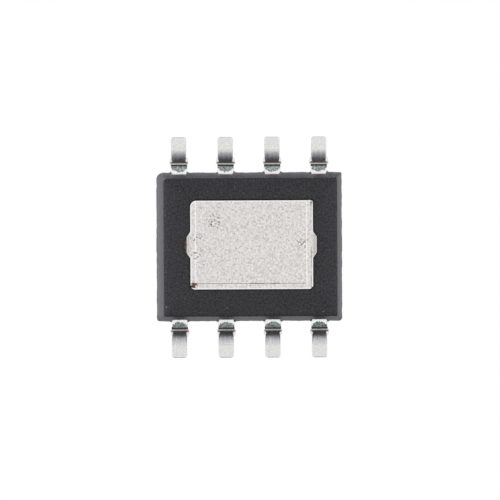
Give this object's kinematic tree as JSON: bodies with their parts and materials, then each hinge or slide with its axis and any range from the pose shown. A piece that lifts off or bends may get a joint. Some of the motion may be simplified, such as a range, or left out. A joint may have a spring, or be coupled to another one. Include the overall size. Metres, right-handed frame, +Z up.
{
  "type": "surface-mount chip with gull-wing leads",
  "caption": "Small-outline surface-mount chip: black moulded body, gull-wing leads along two sides, and a bare metal thermal pad in its underside.",
  "frame": {"origin": "middle of the chip's footprint, on the plane that the feet stand on", "axes": "+X along the body's length, +Y across the leads, +Z up from the board; leads 1 to 4 run along -Y from -X to +X"},
  "size_m": [0.005, 0.006, 0.0015],
  "materials": {
    "mould_resin": "black epoxy moulding compound, finely eroded",
    "tinned_pad": "matte tin plating over copper",
    "tinned_lead": "matte tin plating over copper",
    "die_adhesive": "silver-filled adhesive",
    "silicon": "polished silicon",
    "bond_wire": "drawn gold wire"
  },
  "bodies": {
    "root": {"mould_body": "mould_resin", "thermal_paddle": "tinned_pad", "die_attach": "die_adhesive", "die": "silicon", "lead_1": "tinned_lead", "lead_2": "tinned_lead", "lead_3": "tinned_lead", "lead_4": "tinned_lead", "lead_5": "tinned_lead", "lead_6": "tinned_lead", "lead_7": "tinned_lead", "lead_8": "tinned_lead", "bond_wire_1": "bond_wire", "bond_wire_2": "bond_wire", "bond_wire_3": "bond_wire", "bond_wire_4": "bond_wire", "bond_wire_5": "bond_wire", "bond_wire_6": "bond_wire", "bond_wire_7": "bond_wire", "bond_wire_8": "bond_wire"}
  },
  "joints": []
}
